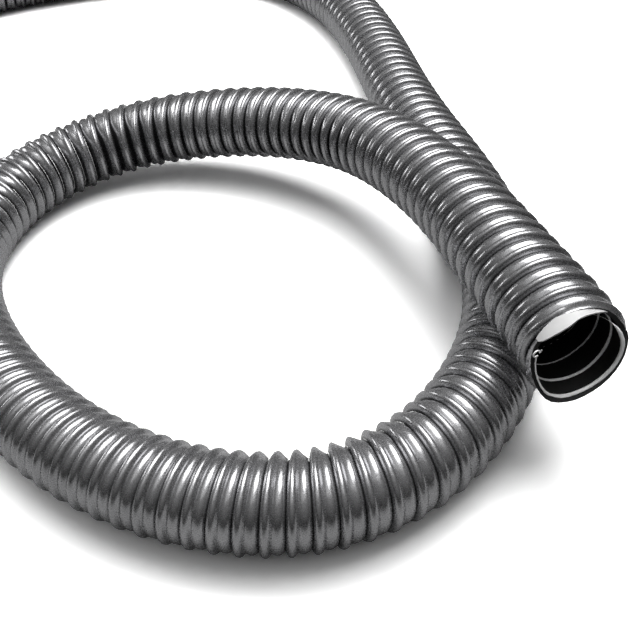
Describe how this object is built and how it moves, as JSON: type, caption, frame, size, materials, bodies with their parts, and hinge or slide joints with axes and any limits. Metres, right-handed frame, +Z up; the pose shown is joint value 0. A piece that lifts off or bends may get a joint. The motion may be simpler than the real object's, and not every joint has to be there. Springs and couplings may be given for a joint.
{
  "type": "air hose",
  "caption": "Flexible spiral-wound plastic air hose lying in a loop on a flat surface, with its open end resting across the loop.",
  "frame": {"origin": "centre of the bounding box in plan, on the surface that the hose lies on", "axes": "+Z up from the surface, +Y along the longest extent, from the two open ends towards the far side of the tail, +X across it"},
  "size_m": [0.4526, 0.7069, 0.093],
  "materials": {
    "silver_grey_plastic": "semi-gloss silver grey with a fine speckle"
  },
  "bodies": {
    "root": {"hose": "silver_grey_plastic"}
  },
  "joints": []
}
